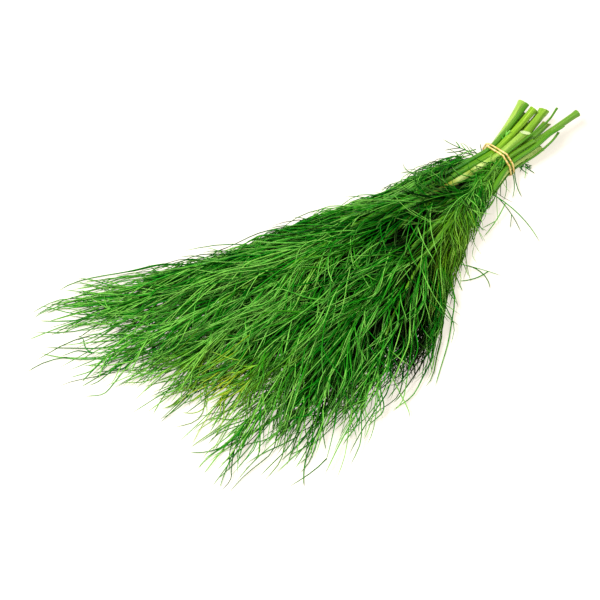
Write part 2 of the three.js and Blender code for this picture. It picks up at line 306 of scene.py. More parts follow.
def dillLeafMaterial():
    material, tree = newMaterial("dill_leaf")
    look = leafLook
    values = {name: addNode(tree, "Attribute", {}, attribute_name=name)["Fac"]
              for name in ("shade", "along", "yellow")}
    place = addNode(tree, "TexCoord", {})
    blotches = addNode(tree, "TexNoise", {
        "Vector": place["Object"], "Scale": 1 / (look["blotch"] * mm), "Detail": 2.0})
    uneven = addNode(tree, "Math", {
        0: blotches["Fac"], 1: look["uneven"], 2: -look["uneven"] / 2}, operation="MULTIPLY_ADD")
    # the shade attribute holds each thread's own tone together with painted shade and painted light from its
    # place in the heap
    mixed = addNode(tree, "Math", {0: values["shade"], 1: uneven[0]}, operation="ADD", use_clamp=True)
    ramp = addNode(tree, "ValToRGB", {"Fac": mixed[0]}, look["greensAndPaintedShade"])
    yellowShade = addNode(tree, "Math", {0: values["yellow"], 1: mixed[0]}, operation="MULTIPLY")
    yellowed = addNode(tree, "Mix", {
        0: yellowShade[0], 6: ramp["Color"], 7: toLinear(look["yellow"])}, data_type="RGBA")
    tipShare = addNode(tree, "MapRange", {
        "Value": values["along"], "From Min": look["tipFrom"], "From Max": 1.0, "To Max": look["tipShare"]})
    tipShade = addNode(tree, "Math", {0: tipShare[0], 1: mixed[0]}, operation="MULTIPLY")
    tipped = addNode(tree, "Mix", {
        0: tipShade[0], 6: yellowed[2], 7: toLinear(look["tip"])}, data_type="RGBA")
    surface = addNode(tree, "BsdfPrincipled", {
        "Base Color": tipped[2], "Roughness": look["roughness"], "IOR": look["ior"],
        "Specular IOR Level": look["specular"]})
    addNode(tree, "OutputMaterial", {"Surface": surface[0]})
    return material


# Dill stalk: smooth juicy skin over fine ribs, pale and yellow at the foot and greener higher up.
# The skin is glossy, the ribs show as light and dark stripes, and the cut shows paler pith.
stalkLook = {
    "stripes": [(0.30, "689a10"), (0.5, "86b61e"), (0.72, "bcd858")],
    "stripe": 0.85, "usualRadius": 2.21, "stripeLength": 50,  # a stripe's width on a usual stalk
    "green": "28740e", "pale": "d4e690", "dry": "8c861e", "cut": "dcecb0",
    "ribHeight": 0.2, "ribStrength": 0.25, "roughness": 0.32, "ior": 1.45, "specular": 0.3,
}


def dillStalkMaterial():
    material, tree = newMaterial("dill_stalk")
    look = stalkLook
    values = {name: addNode(tree, "Attribute", {}, attribute_name=name)["Fac"]
              for name in ("ribX", "ribY", "along", "green", "pale", "dry", "cut")}
    place = addNode(tree, "CombineXYZ", {"X": values["ribX"], "Y": values["ribY"], "Z": values["along"]})
    stripes = addNode(tree, "TexNoise", {
        "Vector": place[0], "Scale": look["usualRadius"] / look["stripe"], "Detail": 3.0,
        "Roughness": 0.6})
    ramp = addNode(tree, "ValToRGB", {"Fac": stripes["Fac"]}, look["stripes"])
    colour = ramp["Color"]
    for name in ("green", "pale", "dry", "cut"):
        layer = {0: values[name], 6: colour, 7: toLinear(look[name])}
        colour = addNode(tree, "Mix", layer, data_type="RGBA")[2]
    bump = addNode(tree, "Bump", {
        "Strength": look["ribStrength"], "Distance": look["ribHeight"] * mm,
        "Height": stripes["Fac"]})
    surface = addNode(tree, "BsdfPrincipled", {
        "Base Color": colour, "Roughness": look["roughness"], "IOR": look["ior"],
        "Specular IOR Level": look["specular"], "Normal": bump[0]})
    addNode(tree, "OutputMaterial", {"Surface": surface[0]})
    return material


# Natural rubber, cut from a dipped tube: cream skin with a soft sheen, amber where it is thin or dusty.
bandLook = {
    "tones": [(0.3, "a8742a"), (0.44, "dcba62"), (0.62, "f2da92")],
    "mottle": 20 / 13,  # width of a mottle
    "grainHeight": 0.1, "grainStrength": 0.2, "roughness": 0.38, "ior": 1.52,
}


def naturalRubberMaterial():
    material, tree = newMaterial("natural_rubber")
    look = bandLook
    place = addNode(tree, "TexCoord", {})
    mottle = addNode(tree, "TexNoise", {
        "Vector": place["Object"], "Scale": 1 / (look["mottle"] * mm), "Detail": 3.0})
    ramp = addNode(tree, "ValToRGB", {"Fac": mottle["Fac"]}, look["tones"])
    bump = addNode(tree, "Bump", {
        "Strength": look["grainStrength"], "Distance": look["grainHeight"] * mm,
        "Height": mottle["Fac"]})
    surface = addNode(tree, "BsdfPrincipled", {
        "Base Color": ramp["Color"], "Roughness": look["roughness"], "IOR": look["ior"],
        "Normal": bump[0]})
    addNode(tree, "OutputMaterial", {"Surface": surface[0]})
    return material


leafMaterial = dillLeafMaterial()
stalkMaterial = dillStalkMaterial()
rubberMaterial = naturalRubberMaterial()
print("materials ready")

# Each leaf is a spray of midribs, each midrib carries side ribs, and each side rib carries a lock of
# threads that run nearly side by side, many of them forked. Long single threads reach out past the
# tufts. Real threads are finer: these are as thin as still shows. Angles are in radians.
#   turn: how far a branch turns out of its parent; comb: how soon it turns into the lie of the leaves
#   veer: how far out of that lie it settles; curl: how far it bends on its own
#   layer: how much its height in the heap varies; room: how much of the way left it may take
leafGrowth = {
    "midrib": {"length": (55, 100), "room": 0.55, "turn": 1.4, "pitch": 0.1,
               "comb": 0.16, "veer": 0.6, "curl": 0.2, "steps": 7, "radius": 0.6, "tip": 0.2, "tone": 0.12},
    "sideRib": {"perParent": 7, "from": 0.1, "length": (20, 45), "shortening": 0.45, "longest": 1.1,
                "room": 0.55, "turn": (0.1, 0.5), "comb": 0.2, "veer": 0.16, "parentVeer": 0.6, "curl": 0.36,
                "layer": 0.14, "layers": (0.03, 1.05), "steps": 5, "radius": 0.42, "tip": 0.16, "tone": 0.06},
    "thread": {"perParent": 6, "from": 0.12, "length": (28, 68), "shortest": 15, "turn": (0.04, 0.34),
               "comb": 0.1, "veer": 0.12, "curl": 0.44, "parentCurl": 1.2, "sweep": 0.5,
               "layer": 0.07, "layers": (0.02, 1.1), "steps": 10, "radius": 0.44, "tip": 0.17},
    "long": {"within": 95, "share": 0.8, "spread": 0.04, "stretch": (1.0, 1.6), "extra": 14,
             "extraToLeft": 0.18, "comb": 0.03, "veer": 0.35, "curl": 0.6, "parentCurl": 1.5,
             "layer": 0.6, "spare": 9, "steps": 13, "radius": 0.5, "tip": 0.27},
    "fork": {"share": 0.4, "perParent": 1, "from": 0.25, "length": (0.35, 0.7), "turn": (0.14, 0.4),
             "comb": 0.05, "veer": 0.1, "steps": 4, "radius": 0.36, "tip": 0.17},
}
# towards their sprig's tip the threads get fewer and spread apart
thinning = {"to": 45, "from": 160, "share": 0.95}
# how far thread ends bend back to the left, in full at this distance to the right
sweepLeft = {"most": 0.7, "at": 50}
radiusSpread = (0.8, 1.2)
# How light a thread is: by its own draw, by painted shade deep in the heap, by painted light where its
# place is open near the front and the sides, and by how far it has yellowed.
leafTone = {
    "lock": 0.14, "thread": 0.13, "least": 0.03, "high": 0.7, "open": 0.13, "yellowed": 0.2,
    "yellowSpread": 0.04, "darkAt": 7.5, "depthRange": (0.1, 1.0),
    "frontFrom": 35, "frontRun": 130, "sideCover": 0.3, "sideRun": 30, "leastCover": 0.05,
}

# How a curve lies down. Strays are the share of curves that leave their tuft.
growthRules = {
    "strays": 0.05, "strayBy": (3, 12), "looseBy": 1.5, "mostLoose": 10, "looserRight": 1.8,
    "edgeTurn": 0.5,  # the most that an edge turns a curve in one step
    "settle": 0.4,  # how soon a curve heads for its own height
    "settleSteps": 3, "dive": 0.6, "climb": 0.4, "lowest": 0.6,
}
# how far leaves reach to each side of a sprig, by the distance left to its tip
tuftWidth = {"left": [0, 15, 40, 75, 110, 140], "width": [8, 9, 12, 16, 27, 75]}
# the slope of the fan's edge: at the band, and how it grows with the distance squared
fanSlope = {"atBand": 0.24, "growth": 1e-5, "share": 0.5}
# leaves stay a little above the table, and near the frame's own box
leafRoom = {"past": 9, "low": 0.55, "high": 36.0}
growLow = np.array([*(np.array(cadBounds[0][:2]) / mm - leafRoom["past"]), leafRoom["low"]])
growHigh = np.array([*(np.array(cadBounds[1][:2]) / mm + leafRoom["past"]), leafRoom["high"]])


# The slope that leaves are combed to: half the fan's own, half the sprig's line.
def combedSlope(sprig, s, y):
    edge = np.where(y > 0, leftAt(s), -rightAt(s))
    widening = fanSlope["atBand"] + fanSlope["growth"] * np.maximum(s, 0) ** 2
    own = fanSlope["share"]
    return own * y / edge * widening + (1 - own) * lineAt(sprig, s, "slope")


# Grows curves from their starts. Each bends by its own curl, is combed along the sprig with its own
# veer, settles at its own share of the heap's height, and slides along the edges of the fan and of its
# sprig's tuft, apart from a few strays.
def growCurves(rng, sprig, starts, headings, pitches, lengths, shape, veer, curl, layer, spare=0):
    rules, count, steps = growthRules, len(starts), shape["steps"]
    points = np.empty((count, steps + 1, 3))
    points[:, 0] = starts
    heading, pitch = headings.copy(), pitches.copy()
    stride = lengths / steps
    slack = np.where(rng.uniform(size=count) < rules["strays"], rng.uniform(*rules["strayBy"], count),
                     np.abs(rng.normal(0, rules["looseBy"], count))) + spare
    slack = np.minimum(slack, rules["mostLoose"])
    for n in range(steps):
        here = points[:, n]
        s, y = fromBand(here)
        lie = np.arctan(combedSlope(sprig, s, y)) + veer
        heading += shape["comb"] * (lie - heading) + curl / steps
        nextS, nextY = s + stride * np.cos(heading), y + stride * np.sin(heading)
        line = lineAt(sprig, nextS)
        width = np.interp(sprig["reach"] - nextS, tuftWidth["left"], tuftWidth["width"]) + slack
        left = np.minimum(leftAt(nextS), line + width)
        right = np.maximum(rightAt(nextS), line - width)
        heading -= np.clip((nextY - left - slack) / stride, 0, rules["edgeTurn"])
        heading += np.clip((right - rules["looserRight"] * slack - nextY) / stride, 0, rules["edgeTurn"])
        height = np.maximum(layer * heapHeight(s, y), rules["lowest"])
        climb = (height - here[:, 2]) / (rules["settleSteps"] * stride)
        climb = np.clip(climb, -rules["dive"], rules["climb"])
        pitch = (1 - rules["settle"]) * pitch + rules["settle"] * climb
        step = np.stack([-np.cos(heading) * np.cos(pitch), np.sin(heading) * np.cos(pitch), np.sin(pitch)], 1)
        points[:, n + 1] = here + step * stride[:, None]
        points[:, n + 1] = np.clip(points[:, n + 1], growLow, growHigh)
    points[:, 1:-1] = (points[:, :-2] + 2 * points[:, 1:-1] + points[:, 2:]) / 4
    return points


sideRoll = 0.7  # how far branches stand out of their parent's plane
branchJitter = (0.1, 0.9)


# Branches: each leaves its parent at a share of the parent's length, alternately left and right.
def branchOff(rng, parents, shape):
    steps, perParent, firstShare = parents.shape[1] - 1, shape["perParent"], shape["from"]
    parent = np.repeat(np.arange(len(parents)), perParent)
    order = np.tile(np.arange(perParent), len(parents))
    share = firstShare + (1 - firstShare) * (order + rng.uniform(*branchJitter, len(parent))) / perParent
    place = share * steps
    i = np.minimum(place.astype(int), steps - 1)
    t = (place - i)[:, None]
    starts = parents[parent, i] * (1 - t) + parents[parent, i + 1] * t
    run = parents[parent, i + 1] - parents[parent, i]
    side = np.where((order + parent) % 2 == 0, 1.0, -1.0)
    roll = rng.normal(0, sideRoll, len(parent))
    turn = rng.uniform(*shape["turn"], len(parent))
    heading = np.arctan2(run[:, 1], -run[:, 0]) + side * turn * np.cos(roll)
    pitch = np.arctan2(run[:, 2], np.hypot(run[:, 0], run[:, 1])) + turn * np.sin(roll)
    return parent, share, side, starts, heading, pitch


def taper(rng, count, steps, base, tip):
    share = np.linspace(0, 1, steps + 1)[None]
    return (base + (tip - base) * share**2) * rng.uniform(*radiusSpread, count)[:, None]


# What is left of the way to the sprig's tip and the fan's front.
endReach = {"most": 1.02, "spread": 0.045, "least": 5}


def roomAhead(rng, sprig, starts, spread=endReach["spread"]):
    s, y = fromBand(starts)
    front = np.minimum(sprig["reach"], frontAt(sprig["y"][-1] + (y - lineAt(sprig, s))))
    front = front * (endReach["most"] - np.abs(rng.normal(0, spread, len(starts))))
    return np.maximum(front - s, endReach["least"])


# Grows a spray of midribs and returns its sets of curves, each with its base and tip radius, how much
# lighter than the threads it is, and whether it lies loose on top.
def growSpray(rng, sprig, starts, veer, layer, size=1.0, curliness=1.0, thickness=1.0, spare=0.0,
              forkShare=leafGrowth["fork"]["share"]):
    midrib, rib, thread, far, fork = leafGrowth.values()
    count = len(starts)
    heading = np.arctan(combedSlope(sprig, *fromBand(starts))) + veer * midrib["turn"]
    lengths = np.minimum(rng.uniform(*midrib["length"], count) * size,
                         roomAhead(rng, sprig, starts) * midrib["room"])
    pitch = rng.normal(0, midrib["pitch"], count)
    curl = rng.normal(0, midrib["curl"], count) * curliness
    midribs = growCurves(rng, sprig, starts, heading, pitch, lengths, midrib, veer * midrib["veer"], curl,
                         layer)

    parent, share, side, starts, heading, pitch = branchOff(rng, midribs, rib)
    shorter = rib["longest"] - rib["shortening"] * share
    lengths = rng.uniform(*rib["length"], len(parent)) * shorter * size
    lengths = np.minimum(lengths, roomAhead(rng, sprig, starts) * rib["room"])
    ribLayer = np.clip(layer[parent] + rng.normal(0, rib["layer"], len(parent)), *rib["layers"])
    ownVeer = side * rng.uniform(0, rib["veer"], len(parent)) * curliness
    ribVeer = veer[parent] * rib["parentVeer"] + ownVeer
    ribCurl = rng.normal(0, rib["curl"], len(parent)) * curliness
    sideRibs = growCurves(rng, sprig, starts, heading, pitch, lengths, rib, ribVeer, ribCurl, ribLayer)
    tone = rng.normal(0, leafTone["lock"], len(sideRibs))

    up, _, side, starts, heading, pitch = branchOff(rng, sideRibs, thread)
    lengths = np.minimum(rng.uniform(*thread["length"], len(up)) * size, roomAhead(rng, sprig, starts))
    threadLayer = np.clip(ribLayer[up] + rng.normal(0, thread["layer"], len(up)), *thread["layers"])
    sweep = sweepLeft["most"] * np.clip(-sprig["y"][-1] / sweepLeft["at"], 0, 1)
    left = sprig["reach"] - fromBand(starts)[0]
    nearFront = 1 - smoothStep(thinning["to"], thinning["from"], left)
    wildness = curliness + nearFront
    threadVeer = ribVeer[up] + side * rng.uniform(0, thread["veer"], len(up)) * wildness
    ownCurl = rng.normal(0, thread["curl"], len(up)) * wildness
    threadCurl = ribCurl[up] * thread["parentCurl"] + ownCurl + thread["sweep"] * sweep * nearFront
    kept = rng.uniform(size=len(up)) > thinning["share"] * nearFront
    kept &= lengths > thread["shortest"] * size
    up, side, starts, heading, pitch, lengths, left, threadLayer, threadVeer, threadCurl = (
        values[kept] for values in (
            up, side, starts, heading, pitch, lengths, left, threadLayer, threadVeer, threadCurl))
    threads = growCurves(rng, sprig, starts, heading, pitch, lengths, thread, threadVeer, threadCurl,
                         threadLayer, spare)

    # long single threads reach out past the tufts
    outer = np.flatnonzero(left < far["within"])
    outer = outer[rng.uniform(size=len(outer)) < far["share"]]
    room = roomAhead(rng, sprig, starts[outer], far["spread"])
    extra = far["extra"] + far["extraToLeft"] * max(sprig["y"][-1], 0)
    room = np.minimum(room * rng.uniform(*far["stretch"], len(outer)),
                      room + rng.uniform(0, extra, len(outer)))
    veers = threadVeer[outer] + side[outer] * rng.uniform(0, far["veer"], len(outer))
    ownCurl = rng.normal(0, far["curl"], len(outer))
    curls = ribCurl[up[outer]] * far["parentCurl"] + ownCurl + sweep
    longThreads = growCurves(rng, sprig, starts[outer], heading[outer], pitch[outer], room, far, veers, curls,
                             threadLayer[outer] * far["layer"], rng.uniform(0, far["spare"], len(outer)))

    forked = rng.permutation(len(up))[: int(forkShare * len(up))]
    _, _, side, starts, heading, pitch = branchOff(rng, threads[forked], fork)
    lengths = lengths[forked] * rng.uniform(*fork["length"], len(forked))
    forks = growCurves(rng, sprig, starts, heading, pitch, lengths, fork,
                       threadVeer[forked] + fork["veer"] * side, threadCurl[forked], threadLayer[forked])
    midribTone = midrib["tone"] + np.abs(rng.normal(0, midrib["tone"], count))
    sets = [(midribs, midrib, midribTone), (sideRibs, rib, tone + rib["tone"]),
            (threads, thread, tone[up]), (longThreads, far, 0.0), (forks, fork, tone[up][forked])]
    return [(curves, shape["radius"] * thickness, shape["tip"] * thickness, lighter, False)
            for curves, shape, lighter in sets]


# Where leaves have begun to yellow: on which sprig, at what share of its reach, how wide and how much.
yellowSpots = [(4, 0.87, 15, 1.4), (3, 0.91, 7, 0.5), (7, 0.38, 12, 0.4), (7, 0.53, 10, 0.4),
               (7, 0.1, 9, 0.2), (5, 0.7, 8, 0.25), (11, 0.55, 7, 0.2)]


def yellowing(s, y):
    total = np.zeros(len(s))
    for number, share, wide, much in yellowSpots:
        sprig = sprigs[number - 1]
        atS = share * sprig["reach"]
        total += much * np.exp(-((s - atS) ** 2 + (y - lineAt(sprig, atS)) ** 2) / wide**2)
    return total


# Along the neck the leaves leave one thick stalk bare.
bare = {"sprig": 11, "to": 46, "width": 2.0, "share": 0.94}


def keptOffBare(rng, curves):
    sprig = sprigs[bare["sprig"] - 1]
    s, y = fromBand(curves)
    near = (np.abs(y - lineAt(sprig, s)) < bare["width"]) & (s < bare["to"])
    over = near & (curves[..., 2] > lineAt(sprig, s, "z"))
    return ~over.any(1) | (rng.uniform(size=len(curves)) > bare["share"])


# Turns sets of curves into one leaf piece. Whatever lies deep in the heap is darker, as painted shade; loose
# threads on top get none.
def leafPiece(name, nodeName, rng, sets):
    look, parts, offset = leafTone, [], 0
    for curves, base, tip, lighter, loose in sets:
        if not loose:
            kept = keptOffBare(rng, curves)
            lighter = np.broadcast_to(lighter, len(curves))[kept]
            curves = curves[kept]
        if not len(curves):
            continue
        radii = taper(rng, len(curves), curves.shape[1] - 1, base, tip)
        vertices, faces, along, owner = threadTubes(curves, radii)
        tone = lighter + rng.normal(0, look["thread"], len(curves))
        s, y = fromBand(vertices)
        # painted light and shade: open places near the front and sides are lighter, and deep places are
        # darker by how far under the heap's top they lie
        ahead = (frontAt(y) - s - look["frontFrom"]) / look["frontRun"]
        beside = look["sideCover"] + np.minimum(leftAt(s) - y, y - rightAt(s)) / look["sideRun"]
        cover = np.clip(np.minimum(ahead, beside), look["leastCover"], 1)
        under = np.maximum(heapHeight(s, y) - vertices[:, 2], 0) * cover / look["darkAt"]
        paintedLightByDepth = np.ones(len(s)) if loose else smoothStep(*look["depthRange"], 1 - under)
        yellow = yellowing(*fromBand(curves[:, 2]))
        lightness = (tone + look["yellowed"] * yellow)[owner] + look["least"] + look["high"] * paintedLightByDepth
        shade = np.clip(lightness + look["open"] * (1 - cover), 0, 1)
        yellow = np.clip(yellow + rng.normal(0, look["yellowSpread"], len(curves)), 0, 1)[owner]
        parts.append((vertices, faces + offset, shade, along, yellow))
        offset += len(vertices)
    vertices, faces, shade, along, yellow = (np.concatenate(part) for part in zip(*parts))
    return makePiece(name, nodeName, leafMaterial, vertices, faces,
                     {"shade": shade, "along": along, "yellow": yellow})


# A sprig's three leaves. Their midribs leave the stalk all along, from before the frame's leaf begins to
# short of its end.
sprigLeaves = {
    "left": {"midribs": 8, "before": 62, "short": 40, "side": 1, "veer": (0.0, 0.3)},
    "right": {"midribs": 8, "before": 62, "short": 40, "side": -1, "veer": (0.0, 0.3)},
    "tip": {"midribs": 5, "before": 22, "short": 52, "side": 0, "veer": 0.1},
}
nearestMidrib = 3  # no midrib begins nearer to the band
lowSprigs = 7  # these lie under the others
leafLayers = {"low": (0.02, 0.6), "high": (0.45, 1.0)}  # as shares of the heap's height

triangles = 0
for number, sprig in enumerate(sprigs, 1):
    for index, (word, leaf) in enumerate(sprigLeaves.items()):
        nodeName, count = f"frond_{number:02d}_{word}", leaf["midribs"]
        middles, _, _ = outlinesOf(nodeName)
        sFrom = max(nearestMidrib, tieX - middles[0, 0] - leaf["before"])
        sTo = tieX - middles[-1, 0] - leaf["short"]
        rng = np.random.default_rng(100 * number + index)
        s = sFrom + (sTo - sFrom) * (np.arange(count) + rng.uniform(0, 1, count)) / count
        starts = toWorld(s, lineAt(sprig, s), lineAt(sprig, s, "z"))
        layer = rng.uniform(*leafLayers["low" if number <= lowSprigs else "high"], count)
        if leaf["side"]:
            veer = leaf["side"] * rng.uniform(*leaf["veer"], count)
        else:
            veer = rng.normal(0, leaf["veer"], count)
        sets = growSpray(rng, sprig, starts, veer, layer)
        triangles += leafPiece(f"leaf_{number:02d}_{word}", nodeName, rng, sets)
print("leaves:", triangles, "triangles")

strandRest = {"height": 0.7, "fall": 1.3}  # how high a drooping thread ends


# A single curved thread with its own side threads. Angles are in degrees from the way to the tips,
# negative to the right.
def strandCurves(start, heading, length, bend, sides=(), droop=1.0, steps=8):
    share = np.linspace(0, 1, steps + 1)
    angle = np.radians(heading + bend * share)
    s = start[0] + np.concatenate([[0], np.cumsum(np.cos(angle[:-1]))]) * length / steps
    y = start[1] + np.concatenate([[0], np.cumsum(np.sin(angle[:-1]))]) * length / steps
    rest = strandRest["height"]
    z = rest + (start[2] - rest) * (1 - share * droop) ** strandRest["fall"]
    curves = [toWorld(s, y, z)]
    for at, turn, sideLength, sideBend, *more in sides:
        i = int(round(at * steps))
        curves += strandCurves((s[i], y[i], z[i]), heading + bend * at + turn, sideLength, sideBend,
                               more[0] if more else (), droop, steps)
    return curves


# Threads that stand out from the neck: the stalk they grow from, how far from the band, heading, length,
# bend and side threads (share, turn, length, bend).
neckThreads = {"right": [
    (7, 24, -104, 46, 42, [(0.22, 76, 28, 15, [(0.45, 35, 9, -8)]),
                           (0.12, 12, 27, 28, [(0.45, 35, 9, 6)])]),
    (7, 34, -5, 11, 70), (7, 34, -45, 10, 8), (6, 48, -56, 12, -26), (7, 44, -76, 10, -14),
    (7, 83, -132, 34, 18, [(0.78, 125, 20, 42), (0.34, 4, 22, 85)]),
    (7, 85, -104, 25, 155, [(0.42, -30, 10, 5)]),
    (7, 72, -80, 20, 24), (6, 2, -20, 18, -32), (7, -1, -66, 20, 46), (7, -5, -40, 22, -34),
    (7, 6, -62, 16, 50), (7, -9, -153, 10, 8, [(0.5, 100, 10, 26)]), (7, -20, 2, 13, -30),
    (12, -10, -158, 14, -8),
    (12, -5, -172, 17, -14, [(0.2, 40, 7, -10), (0.35, -38, 5, 10), (0.5, 42, 7, 10), (0.65, -36, 4, 0),
                             (0.8, 35, 5, 0)]),
    (7, -4, -160, 14, 18, [(0.2, 45, 7, -15), (0.4, -40, 6, 10), (0.6, 40, 7, 10), (0.8, -35, 4, 0)]),
    (12, -8, -150, 11, 24, [(0.3, 50, 6, 15), (0.5, -35, 5, 10), (0.7, 42, 5, 0)]),
], "left": [
    (8, 8, 68, 28, 24, [(0.35, -42, 12, 20), (0.5, -30, 10, -15), (0.55, 42, 8, -12)]),
    (8, 12, 92, 17, 28, [(0.3, -30, 9, 10)]),
    (8, 9, 100, 11, 10), (8, 6, 124, 10, 18),
    (1, 14, 70, 13, 20, [(0.4, -30, 7, 10)]),
    (1, 15, 42, 27, -22, [(0.3, 32, 9, -10), (0.5, -28, 8, 6), (0.7, 25, 7, -10)]),
    (1, 20, 38, 26, -26, [(0.4, 30, 8, -10), (0.6, -25, 7, 5)]),
    (1, 27, 30, 24, -20, [(0.4, 32, 8, -8)]),
]}
neckThreadLook = {"radius": 0.4, "tip": 0.26, "tone": -0.05}
# A small pale sprout stands up between the stems, past the band.
sprout = {"threads": [(10, -9, 168, 11, -38, [(0.3, -48, 5, -20), (0.62, 42, 3.5, 10)])],
          "droop": -0.15, "radius": 0.8, "tip": 0.4, "tone": 0.25}


def growFromStalk(number, distance, heading, length, bend, sides=(), droop=1.0):
    line = sprigs[number - 1]["stalk"]
    y, z = (np.interp(distance, tieX - line[:, 0], line[:, axis]) for axis in (1, 2))
    return strandCurves((distance, y - tieY, z), heading, length, bend, sides, droop)


# Leaves that wrap the neck: where they start, how far they veer, and how small and curly they are.
neckLeaves = {
    "top": {"sprig": 12, "from": (-6, 30), "across": (-10, -3), "height": (0.75, 1.0), "veer": (-0.25, 0.1),
            "midribs": 17, "size": 0.55, "curliness": 2.8, "spare": 1.0, "droop": 1.0},
    "left": {"sprig": 1, "from": (3, 42), "across": (6, 12), "height": (0.4, 0.95), "veer": (-0.1, 0.3),
             "midribs": 9, "size": 0.46, "curliness": 2.8, "spare": 5.0, "droop": 0.15},
    "right": {"sprig": 6, "from": (30, 66), "across": (-15, -9), "height": (0.3, 0.9), "veer": (-0.4, 0.1),
              "midribs": 7, "size": 0.45, "curliness": 2.2, "spare": 2.0, "droop": 1.0},
}
# they start closer together towards the band
neckGrowth = {"crowding": 1.4, "widening": 90, "thickness": 0.74, "forkShare": 0.15, "tone": -0.06}
# Curly threads that lie across the stems beside the band, in all directions.
neckCurls = {
    "count": 300, "from": (-10, 26), "across": (-13, -1), "heading": 60, "bend": 90, "length": (9, 24),
    "steps": 9, "radius": 0.36, "tip": 0.16, "tone": 0.06,
    "besideBand": 0.8,  # whatever would cross the band is turned back here
    "inHeap": 0.9, "lift": 0.9, "lifts": (0.2, 1.6), "smoothing": 3,
    "pastEdge": 5.5,  # none reaches further past the right edge
}
stemFullness = 1.2  # stems are thicker than in the frame


# The tops of the stems at a place.
def stemTop(s, y):
    tops = []
    for sprig in sprigs:
        radius = stemFullness * np.interp(tieX - s, sprig["stalk"][::-1, 0], sprig["thick"][::-1])
        beside = np.abs(y - lineAt(sprig, s))
        top = lineAt(sprig, s, "z") + np.sqrt(np.maximum(radius**2 - beside**2, 0))
        tops.append(np.where(beside > radius, 0, top))
    return np.maximum(np.max(tops, axis=0), growthRules["lowest"])


def curlCurves(rng, curls):
    count, steps = curls["count"], curls["steps"]
    share = np.linspace(0, 1, steps + 1)[None]
    heading, bend = (rng.normal(0, curls[name], count)[:, None] for name in ("heading", "bend"))
    angle = np.radians(heading + bend * share)
    stride = rng.uniform(*curls["length"], count)[:, None] / steps
    s = rng.uniform(*curls["from"], count)[:, None] + np.cumsum(np.cos(angle) * stride, axis=1)
    y = rng.uniform(*curls["across"], count)[:, None] + np.cumsum(np.sin(angle) * stride, axis=1)
    s = np.abs(s - curls["besideBand"]) + curls["besideBand"]
    lift = curls["lift"] * rng.uniform(*curls["lifts"], count)[:, None]
    z = np.maximum(stemTop(s, y), heapHeight(s, y) * curls["inHeap"]) + lift
    for _ in range(curls["smoothing"]):
        z[:, 1:-1] = np.maximum(z[:, 1:-1], (z[:, :-2] + z[:, 2:]) / 2)
    inside = (y > rightAt(s) - curls["pastEdge"]).all(1)
    return toWorld(s, y, z)[inside]


def singleThreads(threads, droop, look):
    curves = [curve for thread in threads for curve in growFromStalk(*thread, droop=droop)]
    return np.array(curves), look["radius"], look["tip"], look["tone"], True


for word, leaf in neckLeaves.items():
    rng = np.random.default_rng(900 + len(word))
    sFrom, sTo = leaf["from"]
    s = sFrom + (sTo - sFrom) * rng.uniform(0, 1, leaf["midribs"]) ** neckGrowth["crowding"]
    y = rng.uniform(*leaf["across"], leaf["midribs"]) * (1 + s / neckGrowth["widening"])
    layer = rng.uniform(*leaf["height"], leaf["midribs"])
    starts = toWorld(s, y, layer * heapHeight(s, y))
    veer = rng.uniform(*leaf["veer"], leaf["midribs"])
    sets = growSpray(rng, sprigs[leaf["sprig"] - 1], starts, veer, layer, leaf["size"], leaf["curliness"],
                     neckGrowth["thickness"], leaf["spare"], neckGrowth["forkShare"])
    sets = [(curves, base, tip, lighter + neckGrowth["tone"], loose)
            for curves, base, tip, lighter, loose in sets]
    if word in neckThreads:
        sets.append(singleThreads(neckThreads[word], leaf["droop"], neckThreadLook))
    if word == "top":
        look = (neckCurls[value] for value in ("radius", "tip", "tone"))
        sets.append((curlCurves(rng, neckCurls), *look, False))
        sets.append(singleThreads(sprout["threads"], sprout["droop"], sprout))
    triangles += leafPiece(f"neck_leaf_{word}", f"neck_frond_{word}", rng, sets)
print("neck leaves:", triangles, "triangles so far")

stalkShape = {
    "sides": 26, "ribDepth": 0.04, "ribUneven": 0.012, "swell": 0.03, "swells": 23,
    "cutRings": (0, 0.6, 1.4, 2.6, 4.2), "evenFrom": 6.5, "spacing": 3.2,  # close together at the cut
    "flare": 0.16, "flareRun": 2.2, "sideSlant": (-0.25, 0.25), "ringGap": 0.3,
    # rings of the cut face: how wide and how deep, and how pale from the rim in
    "hollow": 0.35, "cutFace": ((0.97, 0.0), (0.72, 0.5), (0.4, 1.0)), "pith": (0.5, 0.5, 0.85, 1.0),
}
# each cut's slope, and how much longer and thicker than in the frame the stem is
stemEnds = {"stem_01": (0.45, 1.2, 1.15), "stem_04": (0.55, 1.8, 1.22), "stem_05": (0.9, 0.0, 1.1),
            "stem_06": (0.5, 0.0, 1.15), "stem_08": (0.5, 0.8, 1.1), "stem_10": (0.5, 1.5, 1.22),
            "stem_11": (1.3, 1.2, 1.12), "stem_12": (0.15, 1.0, 1.1)}
otherEnds = (0.5, 0.0, 1.1)
# pale places, whose whiteness is partly a painted highlight, and dry places along a stem: where from its
# foot, how long and how strong
stemMarks = {
    "stem_02": [("dry", 0, 2.5, 0.5)], "stem_05": [("dry", 0, 3, 0.7)], "stem_07": [("dry", 22, 8, 0.25)],
    "stem_11": [("paleAndHighlight", 42, 4, 0.7), ("paleAndHighlight", 58, 5, 0.6), ("dry", 50, 4, 0.5),
                ("dry", 70, 9, 0.85)],
}
# each stalk in turn at its foot: how green and how pale, then how green further up
stalkTones = [(0.0, 0.2, 0.5), (0.5, 0.0, 0.8), (0.45, 0.0, 0.8), (0.18, 0.05, 0.6), (0.7, 0.0, 0.9),
              (0.08, 0.5, 0.2), (0.1, 0.45, 0.15), (0.7, 0.0, 0.95), (0.6, 0.0, 0.8), (0.12, 0.0, 0.85),
              (0.28, 0.15, 0.9), (0.62, 0.05, 0.8), (0.6, 0.0, 0.7)]
